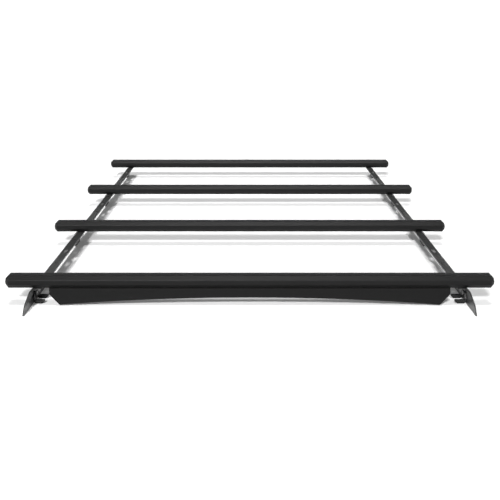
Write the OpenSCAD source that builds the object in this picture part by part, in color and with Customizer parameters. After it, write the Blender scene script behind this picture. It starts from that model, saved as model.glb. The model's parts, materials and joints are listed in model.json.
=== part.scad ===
// Van roof rack: four octagonal crossbars on two folded side rails, with a front wind deflector.
// X runs across the van, -Y points to its front and Z is up, with Z = 0 on the roof that the pads rest on.
// The origin is at the middle of the footprint.

/* [Crossbars] */
// Length of a crossbar over its end caps
bar_len = 1494; // [1200:1:1900]
// Distance from one crossbar to the next
bar_pitch = 805; // [600:5:1000]
// Width of the crossbar section, front to back
bar_w = 64; // [56:1:80]
// Height of the crossbar section
bar_h = 38; // [34:1:50]
// Corner cut of the octagonal section
bar_chamfer = 12; // [8:0.5:15]
// Rounding of the extrusion's outer corners
bar_corner_r = 2; // [0.5:0.5:3]
// Wall of the extrusion
bar_wall = 2.5; // [2:0.1:3.5]
// Thickness of the slot lips
lip_t = 3; // [2:0.1:4]
// Width of the top slot mouth
top_mouth_w = 14; // [11:0.5:16]
// Width of both slot cavities
cavity_w = 20; // [19:0.5:24]
// Height of both slot cavities
cavity_h = 8; // [7:0.1:9]
// Thickness of an end cap
cap_t = 11; // [8:0.5:20]
// Bevel round the outer face of an end cap
cap_bevel = 8; // [3:0.5:8]
// Length of the tongues of an end cap inside the crossbar
tongue_len = 18; // [8:1:30]

/* [Side rails] */
// Distance from a rail's outer face to the end of the first crossbar
bar_overhang = 75; // [40:1:150]
// Turn of each rail that brings its tail nearer the middle of the van, in degrees
rail_toe = 0.23; // [0:0.01:0.3]
// Sheet thickness of the rail
rail_t = 4; // [3:0.5:5]
// Width of the rail's top flange
flange_w = 33; // [30:1:45]
// Height of the flange's top face above the roof
rail_h = 52; // [50:1:80]
// Outer radius of the rail's fold
rail_bend_r = 8; // [5:0.5:9]
// Reach of the nose in front of the first crossbar
nose_reach = 141; // [120:1:200]
// Where the nose's top edge starts to fall, in front of the first crossbar
nose_start = 27; // [24:1:60]
// Height of the knee in the nose's edge
knee_z = 24; // [18:1:30]
// Distance of the knee behind the tip
knee_back = 22; // [15:1:40]
// Height of the blunt front edge of the tip
tip_h = 2.5; // [1:0.5:6]
// Length of the deep skirt behind the first crossbar
skirt_len = 200; // [120:5:300]
// Clearance of the skirt above the roof
skirt_gap = 1; // [0.5:0.1:3]
// Clearance of the web above the roof between the feet
bay_gap = 11; // [8:0.5:14]
// Reach of the rail behind the last crossbar
tail_reach = 56; // [54:1:120]
// Pitch of the accessory holes in the flange
hole_pitch = 177; // [120:1:300]
// Diameter of the accessory holes
hole_d = 11; // [8:0.5:12]
// Length of the strap slots
strap_slot_len = 60; // [30:1:80]
// Distance from the first crossbar to the first accessory hole
hole_start = 125; // [100:1:200]
// Height of the pressed bead in the nose
bead_z = 24; // [20:0.5:27]
// Distance from the tip of the nose to its bead
bead_tip_gap = 77; // [60:1:90]

/* [Feet] */
// Sheet thickness of a foot bracket
bracket_t = 4; // [3:0.5:5]
// Distance between the two roof bolts of a foot
foot_pitch = 59; // [56:1:80]
// Width of a foot tab and of its pad, front to back
tab_w = 16; // [14:1:24]
// Width of a front rubber pad at its top, across the van
pad_w = 33; // [26:1:34]
// Width of the other rubber pads at their tops
rear_pad_w = 26; // [24:1:34]
// Height of a rubber pad
pad_h = 6; // [5:0.5:9]
// Offset of the front feet behind the first crossbar
front_foot_shift = 30; // [24:0.5:60]
// Diameter of the roof bolt holes
roof_hole_d = 9; // [6.5:0.1:9.5]

/* [Wind deflector] */
// Gap between the deflector's side edge and the rail's flange
deflector_side_gap = 24; // [10:1:80]
// Sheet thickness of the deflector
deflector_t = 3; // [2:0.5:4]
// Lean of the panel, forward from upright
deflector_lean = 12; // [0:0.5:30]
// Height of the panel along its slope, at the lower corners
panel_h = 51.5; // [40:0.5:52]
// Height of the panel along its slope, at the middle
panel_mid_h = 29.5; // [20:0.5:38]
// Height of the short side edges along the slope
side_edge_h = 19; // [8:1:30]
// How far the lower corners stand in from the side edges
corner_inset = 32; // [10:1:80]
// Distance from the outer deflector bolts to the side edges
deflector_bolt_inset = 104; // [30:1:200]

/* [Fasteners] */
// Diameter of the bolts
bolt_d = 8; // [6:0.5:8]
// Clearance of a bolt in its hole, across the diameter
bolt_play = 1; // [0.4:0.1:1.5]
// Width across the flats of nuts and bolt heads
hex_af = 13; // [10:0.5:13]
// Thickness of the rubber gasket under a crossbar
gasket_t = 2; // [1:0.5:4]

/* [Hidden] */

$fn = 48;
bar_count = 4;
corner_steps = 8;
// Straight stretches of a small corner's rounding
fine_steps = 3;
// Straight stretches of half the deflector's arched edge
arch_steps = 12;
// Overshoot of a cutting shape past the face that it cuts
cut = 1;

rack_len = nose_reach + (bar_count - 1) * bar_pitch + tail_reach;
front_y = -rack_len / 2;
bar_z = rail_h + gasket_t;
extrusion_len = bar_len - 2 * cap_t;
cap_plate_t = max(cap_t - cap_bevel, 1);
wide_y = cavity_w / 2 + bar_wall;
slot_depth = lip_t + cavity_h;
// The bottom slot lets a bolt through
bottom_mouth_w = bolt_d + bolt_play;
mouth_play = 0.4;
tongue_play = 0.6;
strip_base_t = 2.5;
strip_rise = 0.8;
rib_w = 1.6;
rib_h = 0.8;
// Room at each side of the strip's foot in its slot
strip_play = 1;

rail_x = bar_len / 2 - bar_overhang;
web_in_x = rail_x - rail_t;
flange_in_x = rail_x - flange_w;
fold_in_x = rail_x - rail_bend_r;
// Bolts and accessory holes lie just outside the middle of the flange's flat
hole_shift = 1;
hole_x = (flange_in_x + fold_in_x) / 2 + hole_shift;
// Every fifth accessory hole is a strap slot, starting at the third
slot_every = 5;
first_slot = 2;
// Least distance from a crossbar's edge to the rim of an accessory hole
hole_margin = 6;
bolt_hole_d = bolt_d + bolt_play;

bracket_len = foot_pitch + tab_w;
bracket_z = pad_h;
bracket_top = rail_h - rail_bend_r;
bracket_bend_in_r = 2;
bracket_bend_r = bracket_t + bracket_bend_in_r;
// The pads start pad_clear away from the rail, under the bracket's bend, and the tabs end tab_lip past them
pad_clear = 0.5;
tab_lip = 1;
tab_r = 4;
// The window between the tabs runs this high up the leg
window_rise = 4;
window_top = bracket_z + bracket_t + window_rise;
foot_bolt_spread = 34;
foot_bolt_z = (window_top + bracket_top) / 2;
// The leg narrows towards its top, where it still backs the bolt heads
leg_margin = 2;
leg_top_w = foot_bolt_spread + hex_af / cos(30) + 2 * leg_margin;
leg_r = 5;
window_r = 3;
// The skirt's deep stretches reach past the brackets by foot_margin and rise over step_run
foot_margin = 6;
step_run = 12;
skirt_r = 5;

// The flange ends a little in front of the first crossbar's middle, along a slanted line
flange_front = 6;
flange_slant = 28;
// Roundings of the knee and of the point where the nose's top edge starts to fall
knee_r = 45;
brow_r = 30;

// The nose's bead stands out of the web by bead_out and ends clear of the front foot's nuts
bead_r = 10;
bead_out = 2.5;
bead_nut_gap = 1;
// Half the bead's width where it leaves the web, in whole millimetres
bead_half_w = ceil(sqrt(bead_r * bead_r - (bead_r - bead_out) * (bead_r - bead_out)));

gasket_out = 2;
gasket_inset = 1;
nut_h = 6.5;
nut_flange_d = 17;
nut_flange_t = 1.8;
head_h = 5.3;
thread_out = 3;
thread_play = 0.2;
t_head_len = 20;
t_head_h = 5;
t_head_play = 1;

// The panel starts just in front of the crossbar's flat underside
panel_gap = 1;
panel_top_y = -(bar_w / 2 - bar_chamfer) - panel_gap;
deflector_back = 12;
side_corner_r = 6;
low_corner_r = 6;
deflector_half = flange_in_x - deflector_side_gap;
deflector_bolt_count = 4;
deflector_bolt_x = [
    for (k = [0:deflector_bolt_count - 1])
        (2 * k / (deflector_bolt_count - 1) - 1) * (deflector_half - deflector_bolt_inset)
];

black = "#1d1d1f";
rail_black = "#26262a";
rubber = "#2e2e30";
plastic = "#161617";
zinc = "#8d8f92";

// Position of a crossbar along the van, counted from 1 at the front
function bar_y(i) = front_y + nose_reach + (i - 1) * bar_pitch;

// Distance from the middle of the van to the bolt between a rail and crossbar i
function clamp_x(i) = hole_x - (i - 1) * bar_pitch * sin(rail_toe);

// Position of a foot's middle along the van
function foot_y(i) = bar_y(i) + (i == 1 ? front_foot_shift : 0);

// A corner's rounding takes less than half of each edge beside it
edge_share = 0.475;

// Points of the arc that rounds corner b between its neighbours a and c
function corner_arc(a, b, c, r, steps) =
    let (
        u = (a - b) / norm(a - b),
        v = (c - b) / norm(c - b),
        half = acos(max(-1, min(1, u * v))) / 2,
        reach = min(r / tan(half), edge_share * norm(a - b), edge_share * norm(c - b)),
        rr = reach * tan(half),
        centre = b + (u + v) / norm(u + v) * rr / sin(half),
        first = b + u * reach - centre,
        last = b + v * reach - centre,
        start = atan2(first[1], first[0]),
        turn = (180 - 2 * half) * sign(cross(first, last))
    )
    [for (k = [0:steps]) let (t = start + turn * k / steps) centre + rr * [cos(t), sin(t)]];

// A closed outline with every corner rounded by its own radius, where 0 keeps the corner
function rounded(pts, radii, steps = corner_steps) =
    [for (k = [0:len(pts) - 1])
        let (n = len(pts), a = pts[(k + n - 1) % n], c = pts[(k + 1) % n])
        each (radii[k] > 0 ? corner_arc(a, pts[k], c, radii[k], steps) : [pts[k]])];

// Sweeps a section drawn in Y and Z along X, centred
module along_x(length) {
    rotate([90, 0, 90]) linear_extrude(length, center = true) children();
}

// Sweeps a section drawn in X and Z along Y, centred
module along_y(length) {
    rotate([90, 0, 0]) linear_extrude(length, center = true) children();
}

// Draws its children on the right-hand side, or mirrored on the left
module on_side(side) {
    mirror([side < 0 ? 1 : 0, 0, 0]) children();
}

// Turns parts drawn at the right-hand rail about its first clamp bolt, on either side
module on_rail(side) {
    pivot = [hole_x, bar_y(1), 0];
    on_side(side) translate(pivot) rotate(rail_toe) translate(-pivot) children();
}

// Corners of an octagon that is w wide and h high, with its corners cut by c
function octagon_points(w, h, c) = [
    [w / 2 - c, h / 2], [w / 2, h / 2 - c], [w / 2, c - h / 2], [w / 2 - c, -h / 2],
    [c - w / 2, -h / 2], [-w / 2, c - h / 2], [-w / 2, h / 2 - c], [c - w / 2, h / 2]
];

// Outline of a crossbar, with its corners rounded
module bar_outline() {
    pts = octagon_points(bar_w, bar_h, bar_chamfer);
    polygon(rounded(pts, [for (p = pts) bar_corner_r], fine_steps));
}

// The octagon moved in by t all round
module inset_octagon(t) {
    polygon(octagon_points(bar_w - 2 * t, bar_h - 2 * t, bar_chamfer - t * (2 - sqrt(2))));
}

// The hollow chamber in front of the slots, or behind them with side = -1, moved in by gap
module side_chamber(side, gap) {
    intersection() {
        inset_octagon(bar_wall + gap);
        translate([side * (wide_y + gap + bar_w / 2), 0]) square([bar_w, bar_h], center = true);
    }
}

// A T-shaped slot whose mouth opens upwards at height 0
module t_slot(mouth) {
    translate([-mouth / 2, -lip_t - cut]) square([mouth, lip_t + 2 * cut]);
    translate([-cavity_w / 2, -slot_depth]) square([cavity_w, cavity_h]);
}

module bar_section() {
    core_h = bar_h - 2 * (slot_depth + bar_wall);
    difference() {
        bar_outline();
        side_chamber(1, 0);
        side_chamber(-1, 0);
        square([cavity_w, core_h], center = true);
        translate([0, bar_h / 2]) t_slot(top_mouth_w);
        translate([0, -bar_h / 2]) mirror([0, 1]) t_slot(bottom_mouth_w);
    }
}

// Puts a section's middle at a crossbar's middle
module at_bar(i) {
    translate([0, bar_y(i), bar_z + bar_h / 2]) children();
}

module crossbar(i) {
    color(black) at_bar(i) along_x(extrusion_len) bar_section();
}

// A cap for the right-hand end: a plate, a bevelled face and two tongues
module end_cap() {
    face = [(bar_w - 2 * cap_bevel) / bar_w, (bar_h - 2 * cap_bevel) / bar_h];
    translate([extrusion_len / 2, 0, 0]) {
        translate([cap_plate_t / 2, 0, 0]) along_x(cap_plate_t) bar_outline();
        translate([cap_plate_t, 0, 0]) rotate([90, 0, 90])
            linear_extrude(cap_t - cap_plate_t, scale = face, slices = 1, $fn = 8) bar_outline();
        for (side = [-1, 1])
            translate([-tongue_len / 2 + cut / 2, 0, 0]) along_x(tongue_len + cut)
                side_chamber(side, tongue_play / 2);
    }
}

module end_caps(i) {
    color(plastic) at_bar(i) for (side = [-1, 1]) on_side(side) end_cap();
}

// Rubber infill of the top slot, with a ribbed face
module strip_section() {
    head_w = top_mouth_w - mouth_play;
    foot_w = cavity_w - 2 * strip_play;
    difference() {
        union() {
            translate([-head_w / 2, -lip_t - strip_base_t]) square([head_w, lip_t + strip_base_t + strip_rise]);
            translate([-foot_w / 2, -lip_t - strip_base_t]) square([foot_w, strip_base_t]);
        }
        for (k = [-1:1])
            translate([k * 2 * rib_w - rib_w / 2, strip_rise - rib_h]) square([rib_w, rib_h + cut]);
    }
}

module slot_strip(i) {
    color(rubber) at_bar(i) translate([0, 0, bar_h / 2]) along_x(extrusion_len) strip_section();
}

// Section of the right-hand rail: a flange, a round fold and a web
module rail_section() {
    fold_z = rail_h - rail_bend_r;
    difference() {
        union() {
            translate([flange_in_x, 0]) square([fold_in_x - flange_in_x, rail_h]);
            translate([flange_in_x, 0]) square([flange_w, fold_z]);
            translate([fold_in_x, fold_z]) circle(rail_bend_r);
        }
        translate([flange_in_x - cut, -cut])
            square([fold_in_x - flange_in_x + cut, rail_h - rail_t + cut]);
        translate([flange_in_x - cut, -cut]) square([web_in_x - flange_in_x + cut, fold_z + cut]);
        translate([fold_in_x, fold_z]) circle(rail_bend_r - rail_t);
    }
}

// Lower edge of the rail from its tail to its nose, deep at the feet and raised between them
function skirt_points() = concat(
    [[bar_y(bar_count) + tail_reach, bay_gap]],
    [for (i = [bar_count:-1:2]) each
        let (reach = bracket_len / 2 + foot_margin, y = bar_y(i)) [
            [y + reach + step_run / 2, bay_gap], [y + reach, skirt_gap],
            [y - reach, skirt_gap], [y - reach - step_run, bay_gap]
        ]],
    [[bar_y(1) + skirt_len + 3 * step_run, bay_gap], [bar_y(1) + skirt_len, skirt_gap]]
);

// Side outline of the rail, drawn in Y and Z
module rail_outline() {
    top = rail_h + cut;
    y1 = bar_y(1);
    skirt = skirt_points();
    nose = [
        [front_y, skirt_gap], [front_y, skirt_gap + tip_h], [front_y + knee_back, knee_z],
        [y1 - nose_start, rail_h], [y1 - nose_start + 2 * cut, top]
    ];
    tail = [[bar_y(bar_count) + tail_reach, top]];
    pts = concat(nose, tail, skirt);
    radii = concat([0, 0, knee_r, brow_r, 0], [0], [for (p = skirt) skirt_r]);
    polygon(rounded(pts, radii));
}

// Accessory holes of the flange, each as [place along the van, true for a strap slot]
flange_holes = [
    for (k = [0:floor((rack_len - nose_reach - hole_start) / hole_pitch)])
        let (
            y = bar_y(1) + hole_start + k * hole_pitch,
            is_slot = (k % slot_every) == first_slot,
            keep = bar_w / 2 + hole_margin + (is_slot ? strap_slot_len : hole_d) / 2,
            near = min([for (i = [1:bar_count]) abs(y - bar_y(i))])
        )
        if (near > keep && y < -front_y - hole_d) [y, is_slot]
];

// A hole through the flange, round or drawn out along the van
module flange_hole(y, d, length) {
    for (end = length > d ? [-1, 1] : [0])
        translate([hole_x, y + end * (length - d) / 2, rail_h - rail_t - cut])
            cylinder(d = d, h = rail_t + 2 * cut);
    if (length > d)
        translate([hole_x - d / 2, y - (length - d) / 2, rail_h - rail_t - cut])
            cube([d, length - d, rail_t + 2 * cut]);
}

// Clears the flange and the gasket in front of the first crossbar along a slanted line
module flange_front_cut() {
    inner_y = bar_y(1) - flange_front;
    outer_y = bar_y(1) - flange_front - flange_slant;
    translate([0, 0, rail_h - rail_t - cut]) linear_extrude(rail_t + gasket_t + 2 * cut)
        polygon([
            [flange_in_x - cut, inner_y], [fold_in_x, outer_y],
            [fold_in_x, front_y - cut], [flange_in_x - cut, front_y - cut]
        ]);
}

// A stiffening bead pressed outwards in the nose: its outer skin, or the groove inside it
module nose_bead(r) {
    bead_from = front_y + bead_tip_gap;
    bead_to = foot_y(1) - (foot_bolt_spread + nut_flange_d) / 2 - bead_nut_gap - bead_half_w;
    translate([rail_x + bead_out - bead_r, 0, bead_z]) {
        translate([0, bead_from, 0]) sphere(r);
        translate([0, bead_to, 0]) sphere(r);
        translate([0, bead_from, 0]) rotate([-90, 0, 0]) cylinder(r = r, h = bead_to - bead_from);
    }
}

module side_rail_right_solid() {
    difference() {
        union() {
            intersection() {
                along_y(rack_len + 2 * cut) rail_section();
                along_x(bar_len) rail_outline();
            }
            intersection() {
                nose_bead(bead_r);
                translate([rail_x - rail_t / 2, front_y, bead_z - bead_r]) cube([bead_r, nose_reach, 2 * bead_r]);
            }
        }
        nose_bead(bead_r - rail_t);
        flange_front_cut();
        for (h = flange_holes) flange_hole(h[0], hole_d, h[1] ? strap_slot_len : hole_d);
        for (i = [1:bar_count]) {
            flange_hole(bar_y(i), bolt_hole_d, bolt_hole_d);
            for (s = [-1, 1])
                translate([web_in_x - cut, foot_y(i) + s * foot_bolt_spread / 2, foot_bolt_z])
                    rotate([0, 90, 0]) cylinder(d = bolt_hole_d, h = rail_t + 2 * cut);
        }
    }
}

module side_rail(side) {
    color(rail_black) on_rail(side) side_rail_right_solid();
}

module bar_gasket(i) {
    gasket_len = bar_w - 2 * bar_chamfer + 2 * gasket_out;
    from_x = flange_in_x + gasket_inset;
    difference() {
        translate([from_x, bar_y(i) - gasket_len / 2, rail_h])
            cube([fold_in_x - from_x, gasket_len, gasket_t]);
        translate([hole_x, bar_y(i), rail_h - cut]) cylinder(d = bolt_hole_d, h = gasket_t + 2 * cut);
        flange_front_cut();
    }
}

module bar_gaskets(side) {
    color(rubber) on_rail(side) for (i = [1:bar_count]) bar_gasket(i);
}

// A bolt whose T-shaped head rests on the slot lips, with its grip below the crossbar
module t_bolt(grip) {
    head_w = cavity_w - t_head_play;
    translate([0, 0, lip_t]) {
        translate([-t_head_len / 2, -head_w / 2, 0]) cube([t_head_len, head_w, t_head_h]);
        translate([0, 0, -lip_t - grip - nut_h - thread_out])
            cylinder(d = bolt_d, h = lip_t + grip + nut_h + thread_out + cut);
    }
}

// A flanged hex nut that hangs below height 0
module flange_nut() {
    difference() {
        union() {
            translate([0, 0, -nut_flange_t]) cylinder(d = nut_flange_d, h = nut_flange_t);
            translate([0, 0, -nut_h]) cylinder(d = hex_af / cos(30), h = nut_h, $fn = 6);
        }
        translate([0, 0, -nut_h - cut]) cylinder(d = bolt_d + thread_play, h = nut_h + 2 * cut);
    }
}

module clamp_bolts(i) {
    color(zinc) for (side = [-1, 1])
        on_side(side) translate([clamp_x(i), bar_y(i), bar_z]) t_bolt(gasket_t + rail_t);
}

module clamp_nuts(side) {
    color(zinc) on_side(side) for (i = [1:bar_count])
        translate([clamp_x(i), bar_y(i), rail_h - rail_t]) flange_nut();
}

// Width of the pads at crossbar i, and how far from the rail their middles and their tabs' ends lie
function foot_pad_w(i) = i == 1 ? pad_w : rear_pad_w;
function pad_mid_x(i) = pad_clear + foot_pad_w(i) / 2;
function tab_reach(i) = pad_clear + foot_pad_w(i) + tab_lip;

// Section of a foot bracket that reaches in +X from an upright face at X = 0
module bracket_section(reach) {
    r = bracket_bend_r;
    difference() {
        union() {
            translate([r, bracket_z]) square([reach - r, bracket_t]);
            translate([0, bracket_z + r]) square([bracket_t, bracket_top - bracket_z - r]);
            intersection() {
                translate([0, bracket_z]) square([r, r]);
                translate([r, bracket_z + r]) circle(r);
            }
        }
        translate([r, bracket_z + r]) circle(r - bracket_t);
    }
}

// Front outline of a bracket in Y and Z: a leg that narrows upwards, over a window between the tabs
module bracket_outline() {
    half = bracket_len / 2;
    foot = bracket_z - cut;
    side = [
        [foot_pitch / 2 - tab_w / 2, foot], [half, foot], [half, window_top],
        [leg_top_w / 2, bracket_top], [0, bracket_top]
    ];
    right = rounded(
        concat([[0, window_top], [foot_pitch / 2 - tab_w / 2, window_top]], side),
        [0, window_r, 0, 0, leg_r, leg_r, 0]
    );
    polygon(concat(right, [for (k = [len(right) - 2:-1:1]) [-right[k][0], right[k][1]]]));
}

// The bracket of crossbar i: an upright leg and two tabs, with holes for the rail and roof bolts
module bracket(i) {
    reach = tab_reach(i);
    difference() {
        intersection() {
            along_y(bracket_len + 2 * cut) bracket_section(reach);
            along_x(2 * reach + 2 * cut) bracket_outline();
        }
        for (s = [-1, 1]) {
            translate([pad_mid_x(i), s * foot_pitch / 2, bracket_z - cut])
                cylinder(d = roof_hole_d, h = bracket_t + 2 * cut);
            translate([-cut, s * foot_bolt_spread / 2, foot_bolt_z])
                rotate([0, 90, 0]) cylinder(d = bolt_hole_d, h = bracket_t + 2 * cut);
            for (e = [-1, 1])
                translate([reach - tab_r, s * foot_pitch / 2 + e * (tab_w / 2 - tab_r), bracket_z - cut])
                    difference() {
                        translate([0, e < 0 ? -tab_r - cut : 0, 0])
                            cube([tab_r + cut, tab_r + cut, bracket_t + 2 * cut]);
                        cylinder(r = tab_r, h = bracket_t + 2 * cut);
                    }
        }
    }
}

// Puts a foot's parts on its rail: inside the rail at the front, outside it at the other crossbars
module at_foot(i, side) {
    on_rail(side)
        if (i == 1) translate([web_in_x, foot_y(i), 0]) mirror([1, 0, 0]) children();
        else translate([rail_x, foot_y(i), 0]) children();
}

module foot_bracket(i, side) {
    color(black) at_foot(i, side) bracket(i);
}

module pad(w) {
    difference() {
        along_y(tab_w) polygon([
            [-w / 2, pad_h], [-w / 2 + pad_h, 0], [w / 2 - pad_h, 0], [w / 2, pad_h]
        ]);
        translate([0, 0, -cut]) cylinder(d = roof_hole_d, h = pad_h + 2 * cut);
    }
}

module foot_pads(i) {
    color(rubber) for (side = [-1, 1]) at_foot(i, side)
        for (s = [-1, 1]) translate([pad_mid_x(i), s * foot_pitch / 2, 0]) pad(foot_pad_w(i));
}

// Puts a fastener at both rail bolts of a foot, pointing from the bracket into the rail
module at_foot_bolts(i, side) {
    at_foot(i, side) for (s = [-1, 1])
        translate([bracket_t, s * foot_bolt_spread / 2, foot_bolt_z]) rotate([0, 90, 0]) children();
}

module hex_bolt(grip) {
    cylinder(d = hex_af / cos(30), h = head_h, $fn = 6);
    translate([0, 0, -grip - nut_h - thread_out]) cylinder(d = bolt_d, h = grip + nut_h + thread_out + cut);
}

module foot_bolts(side) {
    color(zinc) for (i = [1:bar_count]) at_foot_bolts(i, side) hex_bolt(bracket_t + rail_t);
}

module foot_nuts(side) {
    color(zinc) for (i = [1:bar_count])
        at_foot_bolts(i, side) translate([0, 0, -bracket_t - rail_t]) flange_nut();
}

// Side section of the deflector in Y and Z, from the crossbar's underside: flange, fold and leaning panel
module deflector_section() {
    t = deflector_t;
    back = [-deflector_back, 0];
    fold = [-panel_top_y, 0];
    slope = [sin(deflector_lean), -cos(deflector_lean)];
    across = [cos(deflector_lean), sin(deflector_lean)];
    fold_in = fold + [t * (1 - sin(deflector_lean)) * tan(deflector_lean) - t * cos(deflector_lean), -t];
    tip = fold + slope * panel_h;
    pts = [back, fold, tip, tip - across * t, fold_in, back - [0, t]];
    mirror([1, 0]) polygon(rounded(pts, [0, 2 * t, 0, 0, t, 0]));
}

// Front outline of the panel, drawn in X and down its slope from the fold
module panel_outline() {
    half = deflector_half;
    low = half - corner_inset;
    sag = panel_h - panel_mid_h;
    arch_r = (low * low + sag * sag) / (2 * sag);
    arch_turn = asin(low / arch_r);
    arch = [
        for (k = [1:2 * arch_steps - 1])
            let (turn = arch_turn * (k / arch_steps - 1))
            arch_r * [sin(turn), cos(turn)] - [0, panel_mid_h + arch_r]
    ];
    corners = [
        [-half, 2 * panel_h], [-half, -side_edge_h], [-low, -panel_h],
        each arch,
        [low, -panel_h], [half, -side_edge_h], [half, 2 * panel_h]
    ];
    last = len(corners) - 1;
    radii = [
        for (k = [0:last])
            k == 1 || k == last - 1 ? side_corner_r : k == 2 || k == last - 2 ? low_corner_r : 0
    ];
    polygon(rounded(corners, radii));
}

module wind_deflector() {
    color(black) translate([0, bar_y(1), bar_z]) difference() {
        intersection() {
            along_x(2 * deflector_half) deflector_section();
            translate([0, panel_top_y, 0]) rotate([90 - deflector_lean, 0, 0])
                linear_extrude(4 * panel_h, center = true) panel_outline();
        }
        for (x = deflector_bolt_x)
            translate([x, 0, -deflector_t - cut]) cylinder(d = bolt_hole_d, h = deflector_t + 2 * cut);
    }
}

module deflector_bolts() {
    color(zinc) for (x = deflector_bolt_x) translate([x, bar_y(1), bar_z]) t_bolt(deflector_t);
}

module deflector_nuts() {
    color(zinc) for (x = deflector_bolt_x) translate([x, bar_y(1), bar_z - deflector_t]) flange_nut();
}

crossbar(1);  // crossbar_1
crossbar(2);  // crossbar_2
crossbar(3);  // crossbar_3
crossbar(4);  // crossbar_4
end_caps(1);  // end_caps_1
end_caps(2);  // end_caps_2
end_caps(3);  // end_caps_3
end_caps(4);  // end_caps_4
slot_strip(1);  // slot_strip_1
slot_strip(2);  // slot_strip_2
slot_strip(3);  // slot_strip_3
slot_strip(4);  // slot_strip_4
side_rail(-1);  // side_rail_left
side_rail(1);  // side_rail_right
bar_gaskets(-1);  // bar_gaskets_left
bar_gaskets(1);  // bar_gaskets_right
clamp_bolts(1);  // clamp_bolts_1
clamp_bolts(2);  // clamp_bolts_2
clamp_bolts(3);  // clamp_bolts_3
clamp_bolts(4);  // clamp_bolts_4
clamp_nuts(-1);  // clamp_nuts_left
clamp_nuts(1);  // clamp_nuts_right
foot_bracket(1, -1);  // foot_bracket_1_left
foot_bracket(1, 1);  // foot_bracket_1_right
foot_bracket(2, -1);  // foot_bracket_2_left
foot_bracket(2, 1);  // foot_bracket_2_right
foot_bracket(3, -1);  // foot_bracket_3_left
foot_bracket(3, 1);  // foot_bracket_3_right
foot_bracket(4, -1);  // foot_bracket_4_left
foot_bracket(4, 1);  // foot_bracket_4_right
foot_pads(1);  // foot_pads_1
foot_pads(2);  // foot_pads_2
foot_pads(3);  // foot_pads_3
foot_pads(4);  // foot_pads_4
foot_bolts(-1);  // foot_bolts_left
foot_bolts(1);  // foot_bolts_right
foot_nuts(-1);  // foot_nuts_left
foot_nuts(1);  // foot_nuts_right
wind_deflector();
deflector_bolts();
deflector_nuts();
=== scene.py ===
"""Van roof rack: its finishes, its small parts and a plain pale studio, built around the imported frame."""

import json
import logging
import math
from dataclasses import dataclass, field
from enum import Enum

import bmesh
import bpy
from mathutils import Matrix, Vector

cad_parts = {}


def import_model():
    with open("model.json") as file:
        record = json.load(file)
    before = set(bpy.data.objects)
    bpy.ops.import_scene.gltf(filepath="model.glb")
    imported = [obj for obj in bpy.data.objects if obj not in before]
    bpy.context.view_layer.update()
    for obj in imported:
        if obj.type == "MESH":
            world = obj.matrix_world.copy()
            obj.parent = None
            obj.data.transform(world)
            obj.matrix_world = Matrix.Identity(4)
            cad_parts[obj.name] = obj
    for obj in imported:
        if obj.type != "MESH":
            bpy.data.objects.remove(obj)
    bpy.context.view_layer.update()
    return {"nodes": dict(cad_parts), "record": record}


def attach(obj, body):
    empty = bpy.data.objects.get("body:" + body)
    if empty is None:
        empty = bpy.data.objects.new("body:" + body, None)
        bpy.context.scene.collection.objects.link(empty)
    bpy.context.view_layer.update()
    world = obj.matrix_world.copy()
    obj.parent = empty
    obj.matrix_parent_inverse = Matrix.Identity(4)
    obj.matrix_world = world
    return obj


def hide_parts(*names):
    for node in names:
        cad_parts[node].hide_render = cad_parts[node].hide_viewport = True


LOG = logging.getLogger("roof_rack")
BAR_COUNT = 4
SIDES = {"left": -1.0, "right": 1.0}
BODY = "root"
WELD_GAP = 0.000001
ROW_DIGITS = 3


class Slot(Enum):
    """The record's material slots."""

    BAR = "bar_coat"
    CAP = "cap_plastic"
    STRIP = "strip_rubber"
    RAIL = "rail_coat"
    PAD = "pad_rubber"
    FASTENER = "fastener_zinc"
    BRACKET = "bracket_coat"
    DEFLECTOR = "deflector_coat"


class Socket(Enum):
    """Socket types of the shader groups."""

    VALUE = "NodeSocketFloat"
    COLOUR = "NodeSocketColor"


def grey(value: float) -> tuple[float, float, float, float]:
    """Return a neutral linear colour.

    Args:
        value: Linear brightness of all three channels.

    Returns:
        The colour with full alpha.
    """
    return (value, value, value, 1.0)


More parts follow.
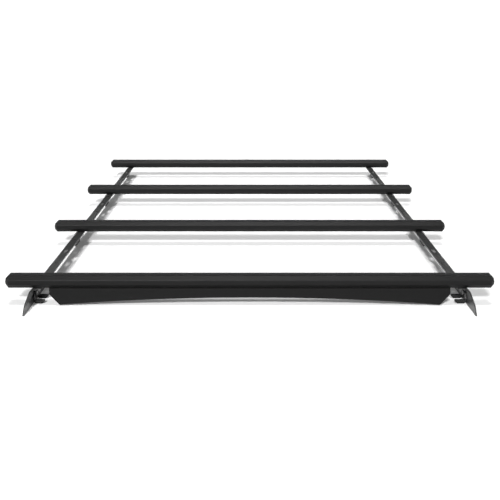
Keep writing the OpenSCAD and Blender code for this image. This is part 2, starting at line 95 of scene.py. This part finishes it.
@dataclass
class Graph:
    """A thin wrapper that adds and links nodes in one node tree."""

    tree: bpy.types.NodeTree

    def node(self, kind: str, **settings: object) -> bpy.types.Node:
        """Add a node and set its plain properties.

        Args:
            kind: The node's type name.
            settings: Properties to set on it.

        Returns:
            The new node.
        """
        made = self.tree.nodes.new(kind)
        for name, value in settings.items():
            setattr(made, name, value)
        return made

    def link(self, source: bpy.types.NodeSocket, target: bpy.types.NodeSocket) -> None:
        """Link one socket to another."""
        self.tree.links.new(source, target)

    def math(self, operation: str, first: object, second: object = None) -> bpy.types.NodeSocket:
        """Add a Math node.

        Args:
            operation: The node's operation.
            first: A socket or a number.
            second: A socket or a number, or nothing.

        Returns:
            The result's socket.
        """
        made = self.node("ShaderNodeMath", operation=operation)
        for slot, value in zip(made.inputs, (first, second)):
            self.feed(value, slot)
        return made.outputs[0]

    def feed(self, value: object, target: bpy.types.NodeSocket) -> None:
        """Link a socket to the target, or set the target to a number or colour.

        Args:
            value: A socket, a number or a colour; None leaves the target as it is.
            target: The input to feed.
        """
        if isinstance(value, bpy.types.NodeSocket):
            self.link(value, target)
        elif value is not None:
            target.default_value = value

    def ranged(self, value: bpy.types.NodeSocket, low: float, high: float,
               out_low: object, out_high: object) -> bpy.types.NodeSocket:
        """Map a value from one range to another, clamped.

        Args:
            value: The socket to map.
            low: Value that gives out_low.
            high: Value that gives out_high.
            out_low: A socket or a number.
            out_high: A socket or a number.

        Returns:
            The mapped value's socket.
        """
        made = self.node("ShaderNodeMapRange")
        for name, number in zip(("Value", "From Min", "From Max", "To Min", "To Max"),
                                (value, low, high, out_low, out_high)):
            self.feed(number, made.inputs[name])
        return made.outputs["Result"]

    def place(self) -> bpy.types.NodeSocket:
        """Return the socket of the place on the piece, in its own coordinates."""
        return self.node("ShaderNodeTexCoord").outputs["Object"]

    def noise(self, place: bpy.types.NodeSocket, scale: object, detail: float,
              roughness: float | None = None) -> bpy.types.NodeSocket:
        """Add a noise texture.

        Args:
            place: Where it is read.
            scale: How fine it is, as a socket or a number.
            detail: How many finer layers it has.
            roughness: How strong the finer layers are, or None for the node's own value.

        Returns:
            The noise's socket.
        """
        made = self.node("ShaderNodeTexNoise")
        settings = {"Vector": place, "Scale": scale, "Detail": detail, "Roughness": roughness}
        for name, value in settings.items():
            self.feed(value, made.inputs[name])
        return made.outputs["Fac"]


class ShaderGroups:
    """Shader node groups that several finishes share, each built once."""

    grain_detail = 3.0
    grain_roughness = 0.6
    mottle_scale = 14.0
    mottle_detail = 5.0
    line_stretch = (0.004, 1.0, 1.0)
    line_detail = 2.0
    dust_scale = 9.0
    dust_detail = 6.0
    dust_slope = 0.5
    dust_patches = (0.35, 0.75)
    dust_least = 0.2
    dust_grey = 0.5

    def __init__(self) -> None:
        """Build the groups."""
        self.grain = self._grain()
        self.draw_lines = self._draw_lines()
        self.dust = self._dust()

    def _new(self, name: str, inputs: list[tuple], outputs: list[tuple]) -> tuple:
        """Start a group with its sockets.

        Args:
            name: The group's name.
            inputs: Name, Socket and default value of each input.
            outputs: Name and Socket of each output.

        Returns:
            The tree, its graph wrapper, its input node and its output node.
        """
        tree = bpy.data.node_groups.new(name, "ShaderNodeTree")
        for label, kind, default in inputs:
            made = tree.interface.new_socket(name=label, in_out="INPUT", socket_type=kind.value)
            made.default_value = default
        for label, kind in outputs:
            tree.interface.new_socket(name=label, in_out="OUTPUT", socket_type=kind.value)
        graph = Graph(tree)
        return tree, graph, graph.node("NodeGroupInput"), graph.node("NodeGroupOutput")

    def _grain(self) -> bpy.types.NodeTree:
        """Build the fine orange-peel grain of a powder coat or a moulding.

        Returns:
            The group, which puts out a height, a roughness and a tint factor.
        """
        tree, graph, source, target = self._new(
            "surface_grain",
            [("Scale", Socket.VALUE, 900.0), ("Roughness", Socket.VALUE, 0.5),
             ("Spread", Socket.VALUE, 0.06), ("Mottle", Socket.VALUE, 0.12)],
            [("Height", Socket.VALUE), ("Roughness", Socket.VALUE), ("Tint", Socket.VALUE)])
        place = graph.place()
        fine = graph.noise(place, source.outputs["Scale"], self.grain_detail, self.grain_roughness)
        broad = graph.noise(place, self.mottle_scale, self.mottle_detail)
        centred = graph.math("SUBTRACT", broad, 0.5)
        spread = graph.math("MULTIPLY", centred, source.outputs["Spread"])
        rough = graph.math("ADD", source.outputs["Roughness"], spread)
        mottle = graph.math("MULTIPLY", centred, source.outputs["Mottle"])
        graph.link(fine, target.inputs["Height"])
        graph.link(rough, target.inputs["Roughness"])
        graph.link(graph.math("ADD", 1.0, mottle), target.inputs["Tint"])
        return tree

    def _draw_lines(self) -> bpy.types.NodeTree:
        """Build the faint lines that an extrusion keeps along its length.

        Returns:
            The group, which puts out a height.
        """
        tree, graph, source, target = self._new(
            "draw_lines", [("Scale", Socket.VALUE, 700.0)], [("Height", Socket.VALUE)])
        stretch = graph.node("ShaderNodeMapping")
        stretch.inputs["Scale"].default_value = self.line_stretch
        graph.link(graph.place(), stretch.inputs["Vector"])
        lines = graph.noise(stretch.outputs["Vector"], source.outputs["Scale"], self.line_detail)
        graph.link(lines, target.inputs["Height"])
        return tree

    def _dust(self) -> bpy.types.NodeTree:
        """Build the thin dust that settles on faces that look up.

        Returns:
            The group, which mixes a colour towards dust.
        """
        tree, graph, source, target = self._new(
            "settled_dust",
            [("Color", Socket.COLOUR, grey(0.02)), ("Amount", Socket.VALUE, 0.02)],
            [("Color", Socket.COLOUR)])
        shape = graph.node("ShaderNodeNewGeometry")
        split = graph.node("ShaderNodeSeparateXYZ")
        graph.link(shape.outputs["Normal"], split.inputs[0])
        upward = graph.ranged(split.outputs["Z"], self.dust_slope, 1.0, 0.0, 1.0)
        patches = graph.noise(graph.place(), self.dust_scale, self.dust_detail)
        cover = graph.ranged(patches, *self.dust_patches, self.dust_least, 1.0)
        share = graph.math("MULTIPLY", graph.math("MULTIPLY", upward, cover), source.outputs["Amount"])
        mix = graph.node("ShaderNodeMix", data_type="RGBA")
        graph.link(share, mix.inputs["Factor"])
        graph.link(source.outputs["Color"], mix.inputs["A"])
        mix.inputs["B"].default_value = grey(self.dust_grey)
        graph.link(mix.outputs["Result"], target.inputs["Color"])
        return tree


@dataclass(frozen=True)
class Finish:
    """One finish of the rack, as a Principled material over the shared groups."""

    name: str
    colour: float
    roughness: float
    specular: float = 0.5
    spread: float = 0.06
    mottle: float = 0.12
    grain_scale: float = 900.0
    grain_depth: float = 0.00002
    line_depth: float = 0.0
    dust: float = 0.015
    metallic: float = 0.0

    def build(self, groups: ShaderGroups) -> bpy.types.Material:
        """Build the material.

        Args:
            groups: The shared node groups.

        Returns:
            The new material.
        """
        made = bpy.data.materials.new(self.name)
        made.use_nodes = True
        graph = Graph(made.node_tree)
        surface = made.node_tree.nodes["Principled BSDF"]
        surface.inputs["Metallic"].default_value = self.metallic
        surface.inputs["Specular IOR Level"].default_value = self.specular
        grain = graph.node("ShaderNodeGroup", node_tree=groups.grain)
        grain.inputs["Scale"].default_value = self.grain_scale
        grain.inputs["Roughness"].default_value = self.roughness
        grain.inputs["Spread"].default_value = self.spread
        grain.inputs["Mottle"].default_value = self.mottle
        tint = graph.node("ShaderNodeMix", data_type="RGBA", blend_type="MULTIPLY")
        tint.inputs["Factor"].default_value = 1.0
        tint.inputs["A"].default_value = grey(self.colour)
        graph.link(grain.outputs["Tint"], tint.inputs["B"])
        dust = graph.node("ShaderNodeGroup", node_tree=groups.dust)
        dust.inputs["Amount"].default_value = self.dust
        graph.link(tint.outputs["Result"], dust.inputs["Color"])
        graph.link(dust.outputs["Color"], surface.inputs["Base Color"])
        graph.link(grain.outputs["Roughness"], surface.inputs["Roughness"])
        height = graph.math("MULTIPLY", grain.outputs["Height"], self.grain_depth)
        if self.line_depth:
            lines = graph.node("ShaderNodeGroup", node_tree=groups.draw_lines)
            drawn = graph.math("MULTIPLY", lines.outputs["Height"], self.line_depth)
            height = graph.math("ADD", height, drawn)
        bump = graph.node("ShaderNodeBump")
        bump.inputs["Distance"].default_value = 1.0
        graph.link(height, bump.inputs["Height"])
        graph.link(bump.outputs["Normal"], surface.inputs["Normal"])
        return made


FINISHES = {
    Slot.BAR: Finish("bar_coat", 0.0084, 0.38, specular=0.1, dust=0.002, line_depth=0.00001),
    Slot.CAP: Finish("cap_plastic", 0.009, 0.5, specular=0.15, dust=0.002, grain_depth=0.00004),
    Slot.STRIP: Finish("strip_rubber", 0.026, 0.7, specular=0.1, dust=0.004),
    Slot.RAIL: Finish("rail_coat", 0.023, 0.4, specular=0.5, dust=0.004),
    Slot.PAD: Finish("pad_rubber", 0.012, 0.8, specular=0.1),
    Slot.FASTENER: Finish("fastener_zinc", 0.2, 0.45, metallic=1.0, mottle=0.5, spread=0.2),
    Slot.BRACKET: Finish("bracket_coat", 0.014, 0.45, specular=0.3),
    Slot.DEFLECTOR: Finish("deflector_coat", 0.0078, 0.6, specular=0.05, dust=0.002),
}


def dress_nodes(frame: dict, materials: dict[str, bpy.types.Material]) -> None:
    """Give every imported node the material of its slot.

    Args:
        materials: The built material of each slot.
    """
    for part in frame["record"]["subparts"]:
        node = frame["nodes"][part["node"]]
        node.data.materials.clear()
        node.data.materials.append(materials[part["material_slot"]])
        LOG.info("%s: %s", part["node"], part["material_slot"])


class Bench:
    """Blender's own modelling operators, wrapped so that each works on just the objects that it is given."""

    merge_gap = 0.000008
    bevel_steps = 3
    hole_sides = 3

    @staticmethod
    def pick(*objects: bpy.types.Object) -> None:
        """Select only these objects, with the first one active.

        Args:
            objects: The objects.
        """
        bpy.ops.object.select_all(action="DESELECT")
        for item in objects:
            item.select_set(True)
        bpy.context.view_layer.objects.active = objects[0]

    @staticmethod
    def settle(item: bpy.types.Object) -> bpy.types.Object:
        """Apply an object's transforms.

        Args:
            item: The object.

        Returns:
            The same object, at the origin, with its place in its mesh.
        """
        Bench.pick(item)
        bpy.ops.object.transform_apply(location=True, rotation=True, scale=True)
        return item

    @staticmethod
    def turned(radius_low: float, radius_high: float, low: float, high: float,
               sides: int = 40) -> bpy.types.Object:
        """Add a cylinder or a cut-off cone along Z.

        Args:
            radius_low: Radius at the lower end.
            radius_high: Radius at the upper end.
            low: Height of the lower end.
            high: Height of the upper end.
            sides: How many sides it has.

        Returns:
            The new object.
        """
        bpy.ops.object.select_all(action="DESELECT")
        bpy.ops.mesh.primitive_cone_add(vertices=sides, radius1=radius_low, radius2=radius_high,
                                        depth=high - low, location=(0.0, 0.0, (low + high) / 2))
        return Bench.settle(bpy.context.object)

    @staticmethod
    def block(size: tuple[float, float, float], middle: tuple[float, float, float]) -> bpy.types.Object:
        """Add a box.

        Args:
            size: Its three lengths.
            middle: Its middle.

        Returns:
            The new object.
        """
        bpy.ops.object.select_all(action="DESELECT")
        bpy.ops.mesh.primitive_cube_add(size=1.0, location=middle)
        box = bpy.context.object
        box.scale = size
        return Bench.settle(box)

    @staticmethod
    def apply(item: bpy.types.Object, kind: str, **settings: object) -> bpy.types.Object:
        """Add a modifier and apply it.

        Args:
            item: The object.
            kind: The modifier's type.
            settings: The modifier's settings.

        Returns:
            The same object.
        """
        added = item.modifiers.new(kind.lower(), kind)
        for name, value in settings.items():
            setattr(added, name, value)
        Bench.pick(item)
        bpy.ops.object.modifier_apply(modifier=added.name)
        return item

    @staticmethod
    def bevel(item: bpy.types.Object, width: float) -> bpy.types.Object:
        """Round all edges of an object off."""
        return Bench.apply(item, "BEVEL", width=width, segments=Bench.bevel_steps)

    @staticmethod
    def cut(item: bpy.types.Object, tool: bpy.types.Object,
            operation: str = "DIFFERENCE") -> bpy.types.Object:
        """Combine an object with a tool, which is then removed.

        Args:
            item: The object.
            tool: The tool.
            operation: How they combine.

        Returns:
            The object.
        """
        Bench.apply(item, "BOOLEAN", operation=operation, object=tool, solver="EXACT")
        bpy.data.objects.remove(tool)
        return item

    @staticmethod
    def pick_foot(item: bpy.types.Object) -> float:
        """Select an object's lowest face, with the object active.

        Args:
            item: The object.

        Returns:
            The face's height.
        """
        lowest = min(vertex.co.z for vertex in item.data.vertices)
        for vertex in item.data.vertices:
            vertex.select = vertex.co.z < lowest + Bench.merge_gap
        for edge in item.data.edges:
            edge.select = all(item.data.vertices[corner].select for corner in edge.vertices)
        for face in item.data.polygons:
            face.select = all(item.data.vertices[corner].select for corner in face.vertices)
        Bench.pick(item)
        return lowest

    @staticmethod
    def narrow_foot(item: bpy.types.Object, depth: float, scale: float) -> bpy.types.Object:
        """Extrude an object's lowest face downwards and narrow it.

        Args:
            item: The object, which stands round the Z axis.
            depth: How far the face goes down.
            scale: Its new width over its old one.

        Returns:
            The same object.
        """
        lowest = Bench.pick_foot(item)
        bpy.ops.object.mode_set(mode="EDIT")
        bpy.ops.mesh.extrude_region_move(TRANSFORM_OT_translate={"value": (0.0, 0.0, -depth)})
        bpy.ops.transform.resize(value=(scale, scale, 1.0), center_override=(0.0, 0.0, lowest - depth))
        bpy.ops.object.mode_set(mode="OBJECT")
        return item

    @staticmethod
    def join(*objects: bpy.types.Object) -> bpy.types.Object:
        """Join objects into the first one.

        Args:
            objects: The objects.

        Returns:
            The first one.
        """
        Bench.pick(*objects)
        bpy.ops.object.join()
        return objects[0]

    @staticmethod
    def smooth(item: bpy.types.Object, degrees: float = 35.0) -> bpy.types.Object:
        """Merge and close an object's mesh, turn its normals outwards and shade it smooth up to an angle.

        Args:
            item: The object.
            degrees: The angle between two faces up to which their edge looks round.

        Returns:
            The same object.
        """
        Bench.pick(item)
        bpy.ops.object.mode_set(mode="EDIT")
        bpy.ops.mesh.select_all(action="SELECT")
        bpy.ops.mesh.remove_doubles(threshold=Bench.merge_gap)
        bpy.ops.mesh.dissolve_degenerate(threshold=Bench.merge_gap)
        bpy.ops.mesh.fill_holes(sides=Bench.hole_sides)
        bpy.ops.mesh.normals_make_consistent(inside=False)
        bpy.ops.object.mode_set(mode="OBJECT")
        bpy.ops.object.shade_smooth_by_angle(angle=math.radians(degrees))
        return item


@dataclass(frozen=True)
class Screw:
    """The rack's M8 screws and nuts, with their sizes in metres.

    The major, the core, the nut's flange and its bore are radii. The mouth is wider than the bore by
    its value. The nut's root, plate and skirt and the ends of the bore's cutter are measured from
    height 0, and the ends of the mouth's cutter from the nut's foot. The rim's share and the washer's
    reach are factors.
    """

    major: float = 0.0039
    core: float = 0.0033
    pitch: float = 0.00125
    shank_sides: int = 24
    thread_steps: int = 20
    head_root: float = 0.0005
    flats: float = 0.013
    rim_share: float = 0.97
    rim_slope: float = math.sqrt(3)
    margin: float = 0.000001
    nut_height: float = 0.0065
    nut_flange: float = 0.0085
    nut_root: float = 0.0008
    nut_plate: float = 0.0011
    nut_skirt: float = 0.0021
    nut_bore: float = 0.0041
    bore_down: float = 0.01
    bore_up: float = 0.001
    mouth: float = 0.0012
    mouth_below: float = 0.0004
    mouth_above: float = 0.0008
    head_height: float = 0.0053
    washer: float = 0.0004
    washer_reach: float = 1.5
    t_head: tuple[float, float, float] = (0.02, 0.019, 0.005)
    t_head_edge: float = 0.0009
    clamp_grip: float = 0.0185
    fairing_grip: float = 0.0155
    bracket_grip: float = 0.0175

    def hexagon(self, low: float, high: float) -> bpy.types.Object:
        """Add a plain hexagon."""
        corner = self.flats / 2 / math.cos(math.pi / 6)
        return Bench.turned(corner, corner, low, high, sides=6)

    def rim(self) -> float:
        """Return the radius of the round face that a hexagon's chamfer leaves."""
        return self.flats / 2 * self.rim_share

    def shank(self, low: float, high: float) -> bpy.types.Object:
        """Add a threaded shank with a chamfered tip at its lower end.

        Args:
            low: Height of the tip.
            high: Height of the other end.

        Returns:
            The new object.
        """
        chamfer = self.major - self.core
        core = Bench.turned(self.core, self.core, low + chamfer, high, sides=self.shank_sides)
        Bench.narrow_foot(core, chamfer, (self.core - chamfer) / self.core)
        # A triangle is 1.5 times as high as its outer radius, so this one is as high as the thread is deep.
        ridge = chamfer * 2 / 3
        middle = (self.major - ridge, 0.0, low + 2 * chamfer)
        bpy.ops.object.select_all(action="DESELECT")
        bpy.ops.mesh.primitive_circle_add(vertices=3, radius=ridge, rotation=(math.pi / 2, 0.0, 0.0),
                                          location=middle)
        thread = Bench.settle(bpy.context.object)
        bpy.ops.object.mode_set(mode="EDIT")
        bpy.ops.mesh.select_all(action="SELECT")
        bpy.ops.transform.rotate(value=-math.pi / 2, orient_axis="Y", center_override=middle)
        bpy.ops.object.mode_set(mode="OBJECT")
        turns = int((high - low - 3 * chamfer) / self.pitch)
        Bench.apply(thread, "SCREW", axis="Z", angle=2 * math.pi, screw_offset=self.pitch, iterations=turns,
                    steps=self.thread_steps, render_steps=self.thread_steps, use_merge_vertices=False)
        return Bench.join(core, thread)

    def t_bolt(self, grip: float) -> bpy.types.Object:
        """Add a bolt with a T-shaped head that sits on height 0.

        Args:
            grip: Length from under the head to the tip.

        Returns:
            The new object.
        """
        head = Bench.block(self.t_head, (0.0, 0.0, self.t_head[2] / 2))
        Bench.bevel(head, self.t_head_edge)
        return Bench.smooth(Bench.join(head, self.shank(-grip, self.head_root)))

    def hex_bolt(self, grip: float) -> bpy.types.Object:
        """Add a hex bolt whose head sits on height 0.

        Args:
            grip: Length from under the head to the tip.

        Returns:
            The new object.
        """
        rim = self.rim()
        top = self.head_height
        head = self.hexagon(self.washer, top)
        chamfer = Bench.turned(rim + self.rim_slope * top, rim, 0.0, top + self.margin)
        Bench.cut(head, chamfer, "INTERSECT")
        face = Bench.turned(rim, rim, 0.0, self.washer * self.washer_reach)
        Bench.cut(head, face, "UNION")
        return Bench.smooth(Bench.join(head, self.shank(-grip, self.head_root)))

    def flange_nut(self) -> bpy.types.Object:
        """Add a flanged nut that hangs below height 0.

        Returns:
            The new object.
        """
        rim = self.rim()
        bore = self.nut_bore
        height = self.nut_height
        nut = self.hexagon(-height, -self.nut_root)
        chamfer = Bench.turned(rim, rim + self.rim_slope * height, -height - self.margin, 0.0)
        Bench.cut(nut, chamfer, "INTERSECT")
        flange = Bench.turned(self.nut_flange, self.nut_flange, -self.nut_plate, 0.0)
        cone = Bench.turned(self.flats / 2, self.nut_flange, -self.nut_skirt, -self.nut_plate)
        Bench.cut(nut, flange, "UNION")
        Bench.cut(nut, cone, "UNION")
        Bench.cut(nut, Bench.turned(bore, bore, -self.bore_down, self.bore_up))
        sink = Bench.turned(bore + self.mouth, bore, -height - self.mouth_below, -height + self.mouth_above)
        Bench.cut(nut, sink)
        return Bench.smooth(nut)


@dataclass(frozen=True)
class PadMould:
    """A moulded rubber pad under a bracket's tab, with its sizes in metres and its bore as a radius."""

    bore: float = 0.0045
    groove: float = 0.0012
    groove_depth: float = 0.0008
    groove_pitch: float = 0.0035
    edge: float = 0.0007

    def pad(self, width: float, depth: float, height: float) -> bpy.types.Object:
        """Add a bored pad that stands on height 0, narrows downwards and has grooves in its sole.

        Args:
            width: Its width at the top.
            depth: Its length front to back.
            height: Its height.

        Returns:
            The new object.
        """
        pad = Bench.block((width, depth, height), (0.0, 0.0, height / 2))
        Bench.pick_foot(pad)
        bpy.ops.object.mode_set(mode="EDIT")
        bpy.ops.transform.resize(value=((width - 2 * height) / width, 1.0, 1.0))
        bpy.ops.object.mode_set(mode="OBJECT")
        Bench.bevel(pad, self.edge)
        rows = int((width / 2 - height) / self.groove_pitch)
        for row in range(-rows, rows + 1):
            strip = (self.groove, depth * 2, self.groove_depth * 2)
            Bench.cut(pad, Bench.block(strip, (row * self.groove_pitch, 0.0, 0.0)))
        Bench.cut(pad, Bench.turned(self.bore, self.bore, -height, 2 * height))
        return Bench.smooth(pad)


def loose_boxes(node: bpy.types.Object) -> list[tuple[Vector, Vector]]:
    """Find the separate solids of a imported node.

    Args:
        node: The node's object, which isn't changed.

    Returns:
        The lowest and highest corner of each solid, from front to back and left to right.
    """
    shell = bmesh.new()
    shell.from_mesh(node.data)
    bmesh.ops.remove_doubles(shell, verts=shell.verts, dist=WELD_GAP)
    left = set(shell.verts)
    boxes = []
    while left:
        reached = [left.pop()]
        places = []
        while reached:
            vertex = reached.pop()
            places.append(node.matrix_world @ vertex.co)
            for edge in vertex.link_edges:
                other = edge.other_vert(vertex)
                if other in left:
                    left.remove(other)
                    reached.append(other)
        low = Vector(min(place[axis] for place in places) for axis in range(3))
        high = Vector(max(place[axis] for place in places) for axis in range(3))
        boxes.append((low, high))
    shell.free()
    return sorted(boxes, key=lambda box: (round(box[0].y, ROW_DIGITS), box[0].x))


@dataclass
class SmallParts:
    """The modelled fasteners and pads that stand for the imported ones."""

    nodes: dict[str, bpy.types.Object]
    materials: dict[str, bpy.types.Material]
    screw: Screw = field(default_factory=Screw)
    mould: PadMould = field(default_factory=PadMould)
    front_pair: int = 2
    pieces: list[bpy.types.Object] = field(default_factory=list)

    def place(self, name: str, pattern: bpy.types.Object, places: list[Matrix], slot: Slot,
              node: str) -> None:
        """Put copies of a pattern where a node has its solids, as one piece, and list the piece.

        Args:
            name: The piece's name.
            pattern: The modelled object.
            places: Where each copy goes.
            slot: The material slot of the piece.
            node: The node that the piece replaces.
        """
        copies = []
        for place in places:
            copy = bpy.data.objects.new(name, pattern.data.copy())
            copy.data.transform(place)
            bpy.context.scene.collection.objects.link(copy)
            copies.append(copy)
        piece = Bench.join(*copies)
        piece.data.materials.clear()
        piece.data.materials.append(self.materials[slot.value])
        piece.name = name
        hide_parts(node)
        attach(piece, BODY)
        self.pieces.append(piece)

    def upright(self, node: str, from_top: float = 0.0) -> list[Matrix]:
        """Return the place of each upright solid of a node.

        Args:
            node: The node's name.
            from_top: Distance from the solid's top down to the pattern's height 0.

        Returns:
            One matrix a solid.
        """
        return [Matrix.Translation(((low.x + high.x) / 2, (low.y + high.y) / 2, high.z - from_top))
                for low, high in loose_boxes(self.nodes[node])]

    def sideways(self, node: str, side: float, from_end: float = 0.0) -> list[Matrix]:
        """Return the place of each solid of a node whose bolts or nuts lie across the van.

        Those of the front foot face the middle of the van, and all others face away from it.

        Args:
            node: The node's name.
            side: The rack's side, -1 or 1.
            from_end: Distance from the end that faces that way to the pattern's height 0.

        Returns:
            One matrix a solid.
        """
        found = []
        for count, (low, high) in enumerate(loose_boxes(self.nodes[node])):
            heading = -side if count < self.front_pair else side
            end = high.x if heading > 0 else low.x
            place = Vector((end - heading * from_end, (low.y + high.y) / 2, (low.z + high.z) / 2))
            found.append(Matrix.Translation(place) @ Matrix.Rotation(heading * math.pi / 2, 4, "Y"))
        return found

    def build_t_bolts(self) -> None:
        """Model the T-bolts that hold the crossbars and the deflector."""
        t_head = self.screw.t_head[2]
        clamp = self.screw.t_bolt(self.screw.clamp_grip)
        for bar in range(1, BAR_COUNT + 1):
            node = f"clamp_bolts_{bar}"
            self.place(f"t_bolts_{bar}", clamp, self.upright(node, t_head), Slot.FASTENER, node)
        short = self.screw.t_bolt(self.screw.fairing_grip)
        node = "deflector_bolts"
        self.place("fairing_bolts", short, self.upright(node, t_head), Slot.FASTENER, node)
        bpy.data.objects.remove(clamp)
        bpy.data.objects.remove(short)

    def build_nuts_and_hex_bolts(self) -> None:
        """Model the flanged nuts, and the hex bolts that hold the brackets to the rails."""
        nut = self.screw.flange_nut()
        node = "deflector_nuts"
        self.place("fairing_nuts", nut, self.upright(node), Slot.FASTENER, node)
        bolt = self.screw.hex_bolt(self.screw.bracket_grip)
        for word, side in SIDES.items():
            node = f"clamp_nuts_{word}"
            self.place(f"rail_nuts_{word}", nut, self.upright(node), Slot.FASTENER, node)
            node = f"foot_bolts_{word}"
            heads = self.sideways(node, side, self.screw.head_height)
            self.place(f"bracket_bolts_{word}", bolt, heads, Slot.FASTENER, node)
            node = f"foot_nuts_{word}"
            self.place(f"bracket_nuts_{word}", nut, self.sideways(node, side), Slot.FASTENER, node)
        bpy.data.objects.remove(nut)
        bpy.data.objects.remove(bolt)

    def build_pads(self) -> None:
        """Model the rubber pads under the feet of every crossbar."""
        for bar in range(1, BAR_COUNT + 1):
            node = f"foot_pads_{bar}"
            boxes = loose_boxes(self.nodes[node])
            low, high = boxes[0]
            pad = self.mould.pad(high.x - low.x, high.y - low.y, high.z - low.z)
            places = [Matrix.Translation(((a.x + b.x) / 2, (a.y + b.y) / 2, a.z)) for a, b in boxes]
            self.place(f"rubber_pads_{bar}", pad, places, Slot.PAD, node)
            bpy.data.objects.remove(pad)

    def build(self) -> list[bpy.types.Object]:
        """Model every fastener and pad.

        Returns:
            The pieces.
        """
        self.build_t_bolts()
        self.build_nuts_and_hex_bolts()
        self.build_pads()
        return self.pieces


@dataclass
class Studio:
    """The floor, the lights and the camera, in metres."""

    camera_y: float = -4.1608
    camera_z: float = 0.8831
    camera_pitch: float = math.radians(13.419)
    lens: float = 72.57
    sensor: float = 36.0
    shift: float = 0.0005
    floor_half: float = 40.0
    wall_height: float = 5.5
    floor_colour: float = 0.86
    floor_lift: float = 0.1
    sky_band: tuple[float, float] = (0.25, 0.8)
    sky_low: float = 0.1
    sky_high: float = 0.22
    key_energy: float = 4.5
    key_angle: float = math.radians(9)
    key_turn: tuple[float, float, float] = (math.radians(59.5), 0.0, math.radians(-9))
    top_energy: float = 1.2
    top_angle: float = math.radians(14)
    top_turn: tuple[float, float, float] = (math.radians(6), 0.0, 0.0)

    def camera(self) -> bpy.types.Object:
        """Add the camera at the photograph's place.

        Returns:
            The camera.
        """
        lens = bpy.data.cameras.new("camera")
        lens.lens = self.lens
        lens.sensor_width = self.sensor
        lens.shift_x = self.shift
        camera = bpy.data.objects.new("camera", lens)
        camera.location = (0.0, self.camera_y, self.camera_z)
        camera.rotation_euler = (math.pi / 2 - self.camera_pitch, 0.0, 0.0)
        bpy.context.scene.collection.objects.link(camera)
        bpy.context.scene.camera = camera
        return camera

    def floor(self) -> bpy.types.Object:
        """Add the pale floor and the low walls round it, which read as white where nothing shades them.

        Returns:
            The floor.
        """
        half = self.floor_half
        corners = [(-half, -half), (half, -half), (half, half), (-half, half)]
        points = [(x, y, z) for z in (0.0, self.wall_height) for x, y in corners]
        walls = [((k + 1) % 4, k, k + 4, (k + 1) % 4 + 4) for k in range(4)]
        mesh = bpy.data.meshes.new("floor")
        mesh.from_pydata(points, [], [(0, 1, 2, 3), *walls])
        mesh.materials.append(self.floor_finish())
        floor = bpy.data.objects.new("floor", mesh)
        bpy.context.scene.collection.objects.link(floor)
        return floor

    def floor_finish(self) -> bpy.types.Material:
        """Build the floor's matt white, which shines a little where the camera or a glossy face sees it.

        Returns:
            The new material.
        """
        material = bpy.data.materials.new("pale_floor")
        material.use_nodes = True
        graph = Graph(material.node_tree)
        surface = material.node_tree.nodes["Principled BSDF"]
        surface.inputs["Base Color"].default_value = grey(self.floor_colour)
        surface.inputs["Roughness"].default_value = 1.0
        surface.inputs["Specular IOR Level"].default_value = 0.0
        surface.inputs["Emission Color"].default_value = grey(1.0)
        seen = graph.math("MULTIPLY", self.seen_ray(graph), self.floor_lift)
        graph.link(seen, surface.inputs["Emission Strength"])
        return material

    def world(self) -> None:
        """Make a soft sky that is brighter overhead than near the horizon."""
        world = bpy.data.worlds.new("soft_sky")
        world.use_nodes = True
        graph = Graph(world.node_tree)
        sky = world.node_tree.nodes["Background"]
        sky.inputs["Color"].default_value = grey(1.0)
        split = graph.node("ShaderNodeSeparateXYZ")
        graph.link(graph.node("ShaderNodeTexCoord").outputs["Generated"], split.inputs[0])
        strength = graph.ranged(split.outputs["Z"], *self.sky_band, self.sky_low, self.sky_high)
        graph.link(strength, sky.inputs["Strength"])
        bpy.context.scene.world = world

    def seen_ray(self, graph: Graph) -> bpy.types.NodeSocket:
        """Add a mask of the rays that show the background: to the camera, in gloss and through glass.

        Args:
            graph: The node tree's wrapper.

        Returns:
            The mask's socket.
        """
        path = graph.node("ShaderNodeLightPath")
        gloss = graph.math("MAXIMUM", path.outputs["Is Camera Ray"], path.outputs["Is Glossy Ray"])
        return graph.math("MAXIMUM", gloss, path.outputs["Is Transmission Ray"])

    def lamp(self, name: str, energy: float, angle: float,
             turn: tuple[float, float, float]) -> bpy.types.Object:
        """Add a distant lamp.

        Args:
            name: Its name.
            energy: Its strength.
            angle: How wide it looks, which softens its shadows.
            turn: Its rotation.

        Returns:
            The lamp.
        """
        light = bpy.data.lights.new(name, "SUN")
        light.energy = energy
        light.angle = angle
        made = bpy.data.objects.new(name, light)
        made.rotation_euler = turn
        bpy.context.scene.collection.objects.link(made)
        return made

    def build(self) -> None:
        """Build the whole studio."""
        self.world()
        self.floor()
        self.lamp("key", self.key_energy, self.key_angle, self.key_turn)
        self.lamp("top", self.top_energy, self.top_angle, self.top_turn)
        self.camera()
        bpy.context.scene.view_settings.view_transform = "Standard"


def main() -> None:
    """Build the finishes, the small parts and the studio, and report each modelled piece."""
    logging.basicConfig(level=logging.INFO, format="%(name)s: %(message)s")
    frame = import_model()
    groups = ShaderGroups()
    materials = {slot.value: finish.build(groups) for slot, finish in FINISHES.items()}
    dress_nodes(frame, materials)
    for piece in SmallParts(frame["nodes"], materials).build():
        LOG.info("%s: %d faces", piece.name, len(piece.data.polygons))
    Studio().build()


if __name__ == "__main__":
    main()
